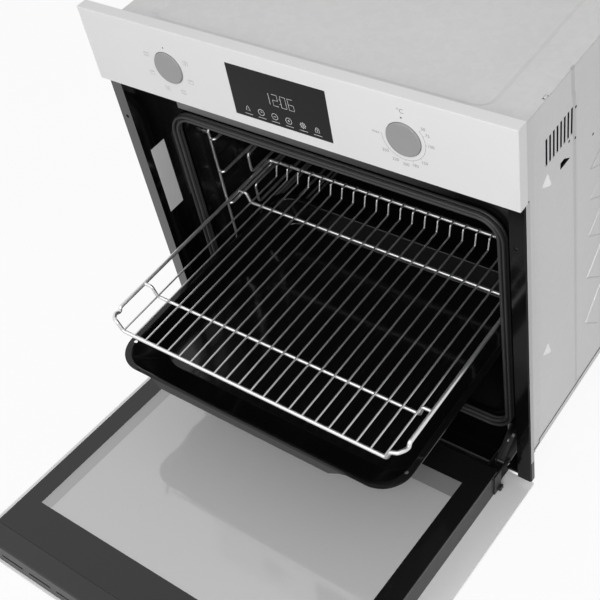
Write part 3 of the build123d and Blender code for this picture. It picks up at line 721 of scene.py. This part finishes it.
trayLook = {
    "half": 229.0, "front": -208.0, "rear": 178.0, "rim": 168.0, "floor": 122.0, "sheet": 1.2,
    "frontCorner": 42.0, "rearCorner": 30.0, "cornerSteps": 12,
    "wallTop": (219.0, -203.0, 169.0), "wallFoot": (205.0, -154.0, 165.0),  # half width, front, rear
    "lip": (157.0, 137.0, 6.0, 5.0),  # half width at the rim and at the tip, reach, drop
    "firstInset": 0.01, "rounding": 5.0, "roundingSteps": 5,
    "sharp": 28, "smooth": 35,  # edges past sharp are rounded, the rest below smooth is shaded round
    "holes": (220.5, -169.0, 2.6), "punch": 20.0,
}


def fitLoop(half, front, rear, oldHalf, oldFront, oldRear, z, oldZ):
    wide = half / oldHalf
    deep = (rear - front) / (oldRear - oldFront)
    middle = Vector((0, (oldFront + oldRear) / 2, oldZ)) * mm
    bpy.ops.transform.resize(value=(wide, deep, 1), center_override=middle)
    bpy.ops.transform.translate(value=Vector((0, (front + rear - oldFront - oldRear) / 2, z - oldZ)) * mm)


def trayPan():
    # rim with round corners, and inside it the walls down to the floor
    t = trayLook
    deselectAll()
    bpy.ops.mesh.primitive_plane_add(size=2.0, location=(0, 0, 0))
    tray = bpy.context.object
    tray.name = "deepTray"
    bpy.ops.object.mode_set(mode="EDIT")
    bpy.ops.mesh.select_all(action="SELECT")
    spread = (t["half"] * mm, (t["rear"] - t["front"]) / 2 * mm, 1)
    bpy.ops.transform.resize(value=spread, center_override=(0, 0, 0))
    bpy.ops.transform.translate(value=Vector((0, (t["rear"] + t["front"]) / 2, t["rim"])) * mm)
    for y, radius in ((t["front"], t["frontCorner"]), (t["rear"], t["rearCorner"])):
        pickNear(tray, [Vector((x, y, t["rim"])) * mm for x in (-t["half"], t["half"])])
        bpy.ops.mesh.bevel(offset=radius * mm, offset_type="OFFSET", segments=t["cornerSteps"],
                           affect="VERTICES")
    bpy.ops.mesh.select_mode(type="FACE")
    bpy.ops.mesh.select_all(action="SELECT")
    bpy.ops.mesh.inset(thickness=t["firstInset"] * mm)
    fitLoop(*t["wallTop"], t["half"], t["front"], t["rear"], t["rim"], t["rim"])
    bpy.ops.mesh.extrude_region_move()
    fitLoop(*t["wallFoot"], *t["wallTop"], t["floor"] + t["sheet"], t["rim"])
    return tray


def trayLip(tray):
    # the middle of the front rim is drawn out and down
    t = trayLook
    lipHalf, tipHalf, reach, drop = t["lip"]
    for x in (-lipHalf, lipHalf):
        bpy.ops.mesh.select_all(action="SELECT")
        bpy.ops.mesh.bisect(plane_co=(x * mm, 0, 0), plane_no=(1, 0, 0))
    bpy.ops.mesh.select_mode(type="EDGE")
    bpy.ops.mesh.select_all(action="DESELECT")
    bpy.ops.object.mode_set(mode="OBJECT")
    frontY, reachX = t["front"] * mm, lipHalf * mm + near
    for edge in tray.data.edges:
        ends = [tray.data.vertices[i].co for i in edge.vertices]
        edge.select = all(abs(e.y - frontY) < near and abs(e.x) < reachX for e in ends)
    bpy.ops.object.mode_set(mode="EDIT")
    bpy.ops.mesh.extrude_edges_move(TRANSFORM_OT_translate={"value": Vector((0, -reach, -drop)) * mm})
    bpy.ops.transform.resize(value=(tipHalf / lipHalf, 1, 1), center_override=(0, 0, 0))


def makeTray():
    t = trayLook
    tray = trayPan()
    trayLip(tray)
    bpy.ops.mesh.select_all(action="SELECT")
    bpy.ops.mesh.remove_doubles(threshold=1e-6)
    bpy.ops.mesh.normals_make_consistent(inside=False)
    bpy.ops.object.mode_set(mode="OBJECT")
    floorFace = min(tray.data.polygons, key=lambda face: face.center.z)
    if floorFace.normal.z < 0:
        bpy.ops.object.mode_set(mode="EDIT")
        bpy.ops.mesh.flip_normals()
        bpy.ops.object.mode_set(mode="OBJECT")
    applyModifier(tray, "BEVEL", width=t["rounding"] * mm, segments=t["roundingSteps"],
                  limit_method="ANGLE", angle_limit=math.radians(t["sharp"]))
    applyModifier(tray, "SOLIDIFY", thickness=t["sheet"] * mm, offset=-1.0)
    x, y, radius = t["holes"]
    for side in (-1, 1):
        deselectAll()
        bpy.ops.mesh.primitive_cylinder_add(vertices=32, radius=radius * mm, depth=t["punch"] * mm,
                                            location=Vector((side * x, y, t["rim"])) * mm)
        punch = bpy.context.object
        applyModifier(tray, "BOOLEAN", object=punch, solver="EXACT")
        bpy.ops.object.delete()
    selectOnly(tray)
    smoothBelow(t["smooth"])
    dressPiece(tray, "tray_enamel", "tray", ("deep_tray",))
    print("deep tray:", len(tray.data.polygons), "faces")


knobLook = {
    "x": 164.0, "z": 537.5, "radius": 21.2, "front": -22.0, "rear": 4.0, "sides": 96, "smooth": 35,
    "edge": 1.3, "edgeSteps": 5,
    "dish": ((1.2, 0.0), (5.0, 0.3), (7.0, 0.2)),  # insets of the face and how deep each goes
    "wall": 1.8, "hollow": 20.0, "boss": (13.0, 27.0),  # the boss inside: inset and length
}


def makeKnob(side, name, body, node):
    k = knobLook
    knob = barAlongY(k["radius"], k["front"], k["rear"], side * k["x"], k["z"], k["sides"])
    pickFaces(knob, lambda face: face.normal.y < -facing)
    bpy.ops.mesh.bevel(offset=k["edge"] * mm, segments=k["edgeSteps"], affect="EDGES")
    broad = math.pi * (k["radius"] * mm) ** 2 / 2
    pickFaces(knob, lambda face: face.normal.y < -facing and face.area > broad)
    for thickness, depth in k["dish"]:
        bpy.ops.mesh.inset(thickness=thickness * mm, depth=-depth * mm)
    pickFaces(knob, lambda face: face.normal.y > facing)
    inset, length = k["boss"]
    bpy.ops.mesh.inset(thickness=k["wall"] * mm)
    bpy.ops.mesh.extrude_region_move(TRANSFORM_OT_translate={"value": (0, -k["hollow"] * mm, 0)})
    bpy.ops.mesh.inset(thickness=inset * mm)
    bpy.ops.mesh.extrude_region_move(TRANSFORM_OT_translate={"value": (0, length * mm, 0)})
    bpy.ops.object.mode_set(mode="OBJECT")
    smoothBelow(k["smooth"])
    knob.name = name
    dressPiece(knob, "knob_grey", body, (node,))


sleeveLook = {
    "radius": 22.5, "front": -20.2, "rear": 3.0, "wall": 0.7,
    "edge": 0.25, "edgeSteps": 2, "sharp": 60, "smooth": 40,
}


def makeSleeves():
    s, k = sleeveLook, knobLook
    pair = []
    for side in (-1, 1):
        tube = barAlongY(s["radius"], s["front"], s["rear"], side * k["x"], k["z"], k["sides"], "NOTHING")
        applyModifier(tube, "SOLIDIFY", thickness=s["wall"] * mm, offset=-1.0)
        applyModifier(tube, "BEVEL", width=s["edge"] * mm, segments=s["edgeSteps"],
                      limit_method="ANGLE", angle_limit=math.radians(s["sharp"]))
        smoothBelow(s["smooth"])
        pair.append(tube)
    sleeves = joinPieces(pair, "knobSleeves")
    dressPiece(sleeves, "panel_paint", "carcass", ("knob_sleeves",))
    print("knobs and sleeves:", len(pair), "of each")


gasketLook = {
    "half": 250.0, "low": 30.0, "high": 416.5, "corner": 36.0, "sides": 4,
    # each hoop's inset, y, radius and stretch
    "hoops": ((5.75, 35.0, 5.75, 0.6), (2.3, 29.6, 2.2, 1.6), (8.6, 30.6, 2.5, 1.24)),
}


def makeGasket():
    g = gasketLook
    hoops = []
    for inset, y, radius, share in g["hoops"]:
        half, low, high = g["half"] - inset, g["low"] + inset, g["high"] - inset
        route = [(-half, y, low), (half, y, low), (half, y, high), (-half, y, high)]
        hoop = bentWire("gasketHoop", route, radius, g["corner"] - inset, True, g["sides"])
        hoops.append(stretchY(hoop, y, share))
    gasket = joinPieces(hoops, "doorGasket")
    dressPiece(gasket, "gasket_rubber", "carcass", ("door_gasket",))
    print("gasket:", len(gasket.data.polygons), "faces")


elementLook = {
    "radius": 3.2, "bend": 12.0,
    # height, and the x and y of the right half from its rear end in
    "grill": (392.0, ((30, 490), (30, 400), (200, 400), (200, 110), (70, 110), (70, 330))),
    "bottom": (34.0, ((60, 440), (60, 380), (180, 380), (180, 110))),
    "ring": (95.0, 455.0, 225.0, 107.0),  # radius, depth, height of the middle and of the ends
    "ringTurns": (-75, 330, 36),  # start, sweep and steps
    "ringLegs": (30, 490), "ringBend": 3.0,  # x and rear end
}


def makeElements():
    e = elementLook
    for name, node in (("grill", "grill_element"), ("bottom", "bottom_element")):
        z, half = e[name]
        route = [(-x, y, z) for x, y in half] + [(x, y, z) for x, y in reversed(half)]
        tube = bentWire(name + "Element", route, e["radius"], e["bend"])
        dressPiece(tube, "element_steel", "carcass", (node,))
    radius, y, middle, ends = e["ring"]
    start, sweep, steps = e["ringTurns"]
    legX, legEnd = e["ringLegs"]
    turns = [math.radians(start + sweep * k / steps) for k in range(steps + 1)]
    loop = [(radius * math.cos(a), y, middle + radius * math.sin(a)) for a in turns]
    route = [(legX, legEnd, ends), (legX, y, ends)] + loop + [(-legX, y, ends), (-legX, legEnd, ends)]
    hoop = bentWire("ringElement", route, e["radius"], e["ringBend"])
    dressPiece(hoop, "element_steel", "carcass", ("ring_element",))
    print("heating elements: 3")


# signs: thin strokes pressed flat on the panel and on the display

signFlat = 0.08  # share of a stroke's depth that stays


def signText(words, x, z, y, size):
    deselectAll()
    bpy.ops.object.text_add(location=(0, 0, 0))
    obj = bpy.context.object
    obj.data.body = words
    obj.data.size = size * mm
    obj.data.align_x = "CENTER"
    obj.data.align_y = "CENTER"
    bpy.ops.object.convert(target="MESH")
    obj.rotation_euler = (math.pi / 2, 0, 0)
    obj.location = Vector((x, y, z)) * mm
    placeInMesh()
    return obj


def stroke(points, y, radius, closed=False):
    route = [(x, y, z) for x, z in points]
    return bentWire("stroke", route, radius, 0, closed, 1)


def spoke(x, z, reach, degrees):
    # the point at this reach, clockwise from straight up
    turn = math.radians(degrees)
    return x + reach * math.sin(turn), z + reach * math.cos(turn)


def ring(x, z, radius, y, wire, start=0, sweep=360, steps=24):
    whole = sweep == 360
    count = steps if whole else steps + 1
    points = [spoke(x, z, radius, start + sweep * k / steps) for k in range(count)]
    return stroke(points, y, wire, whole)


def boxAround(x, z, half, low, high):
    return [(x - half, z + low), (x + half, z + low), (x + half, z + high), (x - half, z + high)]


dialLook = {
    "y": -20.06, "stroke": 0.24,
    "marks": {"50": 50.5, "75": 65, "100": 88.5, "150": 135.5, "180": 160, "200": 180.5, "220": 203.2,
              "250": 228.5, "max": 270},
    "arc": (26.8, 50, 220, 44), "tick": 1.6,  # radius, start, sweep and steps
    "text": 33.2, "textSize": 5.5, "wordReach": 1.2,  # a word stands this much further out
    "unit": ("°C", -0.4, 36.2, 8.0),
    "functions": (65, 110, 155, 200, 245, 290), "reach": 34.0,
    "box": (3.6, 2.6), "boxRing": 1.3, "boxBar": (2.4, 1.5),  # half sizes, radius, half length and height
    "dot": (28.0, 0.55, 0.6, 10),  # reach, radius, wire and steps
}


def makeDialPrint():
    d, knobX, knobZ = dialLook, knobLook["x"], knobLook["z"]
    y, wire = d["y"], d["stroke"]
    arc, start, sweep, steps = d["arc"]
    made = [ring(knobX, knobZ, arc, y, wire, start, sweep, steps)]
    for words, turn in d["marks"].items():
        ticks = [spoke(knobX, knobZ, reach, turn) for reach in (arc, arc + d["tick"])]
        made.append(stroke(ticks, y, wire))
        reach = d["text"] + (0.0 if words.isdigit() else d["wordReach"])
        made.append(signText(words, *spoke(knobX, knobZ, reach, turn), y, d["textSize"]))
    unit, aside, above, size = d["unit"]
    made.append(signText(unit, knobX + aside, knobZ + above, y, size))
    # function signs round the other knob: small boxes with a ring, one bar or two bars inside
    halfWide, halfHigh = d["box"]
    bar, barZ = d["boxBar"]
    for order, turn in enumerate(d["functions"]):
        x, z = spoke(-knobX, knobZ, d["reach"], turn)
        made.append(stroke(boxAround(x, z, halfWide, -halfHigh, halfHigh), y, wire, True))
        if order % 3 == 0:
            made.append(ring(x, z, d["boxRing"], y, wire, steps=12))
        else:
            made.append(stroke([(x - bar, z + barZ), (x + bar, z + barZ)], y, wire))
        if order % 3 == 2:
            made.append(stroke([(x - bar, z - barZ), (x + bar, z - barZ)], y, wire))
    dressPiece(stretchY(joinPieces(made, "dialPrint"), y, signFlat), "panelPrint", "carcass")
    reach, radius, dotWire, steps = d["dot"]
    dots = [ring(side * knobX, knobZ + reach, radius, y, dotWire, steps=steps) for side in (-1, 1)]
    dressPiece(stretchY(joinPieces(dots, "dialDots"), y, signFlat), "dark_plastic", "carcass")


displayLook = {
    "y": -20.26, "stroke": 0.36, "bold": 1.3,  # bold strokes are this much thicker
    "rows": {"b": 529.7, "m": 537.2, "t": 545.0}, "digitWide": 7.2, "lean": 0.04,
    # left edge of each digit, and its corners: left or right, then bottom, middle or top
    "digits": ((-19.6, "rb rt"), (-7.5, "lt rt rm lm lb rb"), (4.0, "lb lt rt rb lb"),
               (14.5, "rt lt lb rb rm lm")),
    "colon": (1.8, 2.8, 3.2),  # x from and to, height above and below the middle
    "icons": (-48.9, -29.3, -9.8, 10.0, 29.7, 49.4), "iconZ": 513.4, "iconRing": 4.2,
    "underZ": 505.7, "underHalf": 5.7,
    "bell": ((-3.2, -2.6), (-2.0, -1.0), (-1.4, 2.2), (0.0, 3.6), (1.4, 2.2), (2.0, -1.0), (3.2, -2.6)),
    "hands": ((0.0, 2.6), (0.0, 0.0), (1.8, 0.0)), "sign": 1.8,  # half length of plus and minus
    "gear": (1.2, 3.0, 4.4), "teeth": 8,  # radius of the bore, of the wheel and of the teeth
    "lockBody": (2.8, -3.6, 0.4), "shackle": (0.8, 2.0), "keyhole": (-1.4, 0.5),
}


def digit(left, corners, y, wire):
    d = displayLook
    spots = []
    for edge, row in corners.split():
        z = d["rows"][row]
        x = left if edge == "l" else left + d["digitWide"]
        spots.append((x + (d["rows"]["b"] - z) * d["lean"], z))
    return stroke(spots, y, wire)


def makeDisplayPrint():
    d = displayLook
    y, wire, z = d["y"], d["stroke"], d["iconZ"]
    bold = wire * d["bold"]
    bell, clock, less, more, gear, lock = d["icons"]
    made = [digit(left, corners, y, wire) for left, corners in d["digits"]]
    colonFrom, colonTo, colonRise = d["colon"]
    for rise in (-colonRise, colonRise):
        spot = d["rows"]["m"] + rise
        made.append(stroke([(colonFrom, spot), (colonTo, spot)], y, bold))
    made.append(stroke([(bell + x, z + up) for x, up in d["bell"]], y, wire, True))
    for x in (clock, less, more):
        made.append(ring(x, z, d["iconRing"], y, wire))
    made.append(stroke([(clock + x, z + up) for x, up in d["hands"]], y, wire))
    for x in (less, more):
        made.append(stroke([(x - d["sign"], z), (x + d["sign"], z)], y, wire))
    made.append(stroke([(more, z - d["sign"]), (more, z + d["sign"])], y, wire))
    bore, wheel, tooth = d["gear"]
    made += [ring(gear, z, wheel, y, wire), ring(gear, z, bore, y, wire, steps=12)]
    for k in range(d["teeth"]):
        turn = 360 / d["teeth"] * k
        made.append(stroke([spoke(gear, z, reach, turn) for reach in (wheel, tooth)], y, bold))
    made.append(stroke(boxAround(lock, z, *d["lockBody"]), y, wire, True))
    shackleUp, shackle = d["shackle"]
    holeUp, hole = d["keyhole"]
    made.append(ring(lock, z + shackleUp, shackle, y, wire, -90, 180, 12))
    made.append(ring(lock, z + holeUp, hole, y, wire, steps=8))
    for x in d["icons"]:
        made.append(stroke([(x - d["underHalf"], d["underZ"]), (x + d["underHalf"], d["underZ"])], y, wire))
    dressPiece(stretchY(joinPieces(made, "displayPrint"), y, signFlat), "displayPrint", "carcass")
    print("signs on the panel and the display")


# small fittings: plate on the left trim, hinge rivets, seams, shade behind the slots, tongues and trim screws

fittingLook = {
    "plate": ((-276.75, 16.75, 302.0), (0.5, 27.5, 112.0), 0.2),  # middle, size and soft edge
    "shade": ((274.5, 125.0, 472.5), (0.8, 140.0, 95.0), 0.3),  # dark plate behind the side slots
    "lance": ((277.0, 73.2, 558.6), (2.6, 5.0, 6.0), 0.9),  # tongue in the notch of the cover
    "seam": ((279.0, 22.0, 6.1), (279.0, 47.6, 6.1), (279.0, 47.6, 13.4), (279.0, 540.0, 13.4)),
    "seamWire": 0.75, "seamBend": 1.6,
    "rivet": ((243.2, 27.2, 11.5), 2.3, 0.55), "rivetSmooth": 40,  # middle, radius, share of a ball
    "screw": (285.0, 422.0, 4.2, -7.8, -5.4), "screwSides": 32,  # x, z, radius, front and rear
    "recess": ((2.6, 0.4), (0.5, 1.0)),  # insets of the screw's face and how deep each goes
}


def softPlate(name, middle, size, edge):
    deselectAll()
    bpy.ops.mesh.primitive_cube_add(size=1.0, location=Vector(middle) * mm)
    plate = bpy.context.object
    plate.name = name
    plate.scale = Vector(size) * mm
    placeInMesh()
    applyModifier(plate, "BEVEL", width=edge * mm, segments=2)
    return plate


def hingeRivet():
    middle, radius, share = fittingLook["rivet"]
    spot = Vector(middle) * mm
    deselectAll()
    bpy.ops.mesh.primitive_uv_sphere_add(segments=24, ring_count=12, radius=radius * mm, location=spot)
    rivet = bpy.context.object
    placeInMesh()
    bpy.ops.object.mode_set(mode="EDIT")
    bpy.ops.mesh.select_all(action="SELECT")
    bpy.ops.transform.resize(value=(share, 1, 1), center_override=spot)
    bpy.ops.mesh.bisect(plane_co=spot, plane_no=(1, 0, 0), clear_inner=True, use_fill=True)
    bpy.ops.object.mode_set(mode="OBJECT")
    smoothBelow(fittingLook["rivetSmooth"])
    return rivet


def trimScrew(side):
    x, z, radius, front, rear = fittingLook["screw"]
    head = barAlongY(radius, front, rear, side * x, z, fittingLook["screwSides"])
    pickFaces(head, lambda face: face.normal.y < -facing)
    for thickness, depth in fittingLook["recess"]:
        bpy.ops.mesh.inset(thickness=thickness * mm, depth=-depth * mm)
    bpy.ops.object.mode_set(mode="OBJECT")
    return head


def makeFittings():
    f = fittingLook
    dressPiece(softPlate("blankPlate", *f["plate"]), "panel_paint", "carcass")
    rivet = hingeRivet()
    seam = bentWire("sideSeam", f["seam"], f["seamWire"], f["seamBend"], sides=1)
    shade = softPlate("slotShade", *f["shade"])
    lance = softPlate("coverLance", *f["lance"])
    for piece, name, finish in ((rivet, "HingeRivet", "steel_shaft"), (seam, "SideSeam", "dark_plastic"),
                                (shade, "SlotShade", "dark_plastic"), (lance, "CoverLance", "galvanised")):
        other = mirrorAcross(piece)
        piece.name, other.name = "right" + name, "left" + name
        dressPiece(piece, finish, "carcass")
        dressPiece(other, finish, "carcass")
    dressPiece(joinPieces([trimScrew(side) for side in (-1, 1)], "trimScrews"), "dark_plastic", "carcass")
    print("fittings ready")


makeRack()
makeSupports()
makeTray()
makeKnob(-1, "functionKnob", "function_control", "function_knob")
makeKnob(1, "temperatureKnob", "temperature_control", "temperature_knob")
makeGasket()
makeSleeves()
makeElements()
makeDialPrint()
makeDisplayPrint()
makeFittings()


# floor, light and white surroundings

studioLook = {
    "fill": 0.42,  # white light from all round
    "key": (20.0, (-1.6, -2.0, 2.6), 2.4),  # watts, place, width
    "side": (27.0, (1.07, -1.57, 1.99), 1.0),
    "target": (0.0, 0.1, 0.3),  # the lamps point here
}
floorLook = {
    "size": 14.0, "middleY": 0.2, "drop": 0.03,  # how far below the base it lies
    "glow": 0.9,  # share of plain white; the rest takes the shadow
    "under": (0.266, -0.03, 0.52),  # half width, front and rear of the shade under the base
    "fade": (50.0, 30.0, 18.0),  # how fast the shade's sides, front and rear come in
    "shade": 0.9, "shadeTone": 0.01,  # share of the shade and its grey
}


def softLamp(name, watts, place, width):
    data = bpy.data.lights.new(name, "AREA")
    data.energy = watts
    data.size = width
    lamp = bpy.data.objects.new(name, data)
    bpy.context.scene.collection.objects.link(lamp)
    lamp.location = place
    aim = Vector(studioLook["target"]) - Vector(place)
    lamp.rotation_euler = aim.to_track_quat("-Z", "Y").to_euler()


def seenRay(tree):
    ray = tree.nodes.new("ShaderNodeLightPath")
    seen = Value(tree, ray.outputs["Is Camera Ray"])
    for name in ("Is Glossy Ray", "Is Transmission Ray"):
        seen = seen.sum("MAXIMUM", Value(tree, ray.outputs[name]))
    return seen


def whiteSurroundings():
    world = bpy.data.worlds.new("studio")
    bpy.context.scene.world = world
    world.use_nodes = True
    tree = world.node_tree
    backdrop = tree.nodes["Background"]
    backdrop.inputs["Color"].default_value = (1.0, 1.0, 1.0, 1.0)
    tree.links.new(seenRay(tree).spread(studioLook["fill"], 1.0).socket, backdrop.inputs["Strength"])


def paleFloor():
    f = floorLook
    deselectAll()
    bpy.ops.mesh.primitive_plane_add(size=f["size"], location=(0, f["middleY"], -f["drop"]))
    floor = bpy.context.object
    floor.name = "paleFloor"
    paint = newFinish("floorPaint", satinPaint(0.90, 0.92, 0.7))
    tree = paint.node_tree
    seen = seenRay(tree)
    matt = Value(tree, tree.nodes["Principled BSDF"].outputs[0])
    glow = seen.make("Emission", None, {"Color": (1.0, 1.0, 1.0, 1.0), "Strength": 1.0})
    dark = seen.make("Emission", None, {"Color": (*grey(f["shadeTone"]), 1.0), "Strength": 1.0})
    place = Value(tree, tree.nodes.new("ShaderNodeNewGeometry").outputs["Position"])
    x, y = place.part("X"), place.part("Y")
    half, front, rear = f["under"]
    sideFade, frontFade, rearFade = f["fade"]
    under = ((half - x.size()) * sideFade).held() * ((y - front) * frontFade).held()
    under = under * ((rear - y) * rearFade).held()
    shaded = seen.make("MixShader", None, {0: seen * under * f["shade"], 1: matt, 2: dark})
    mixed = seen.make("MixShader", None, {0: seen * (1.0 - under) * f["glow"], 1: shaded, 2: glow})
    tree.links.new(mixed.socket, tree.nodes["Material Output"].inputs["Surface"])
    floor.data.materials.append(paint)


whiteSurroundings()
paleFloor()
softLamp("keyLamp", *studioLook["key"])
softLamp("sideLamp", *studioLook["side"])
bpy.context.scene.view_settings.view_transform = "Standard"
print("studio ready")
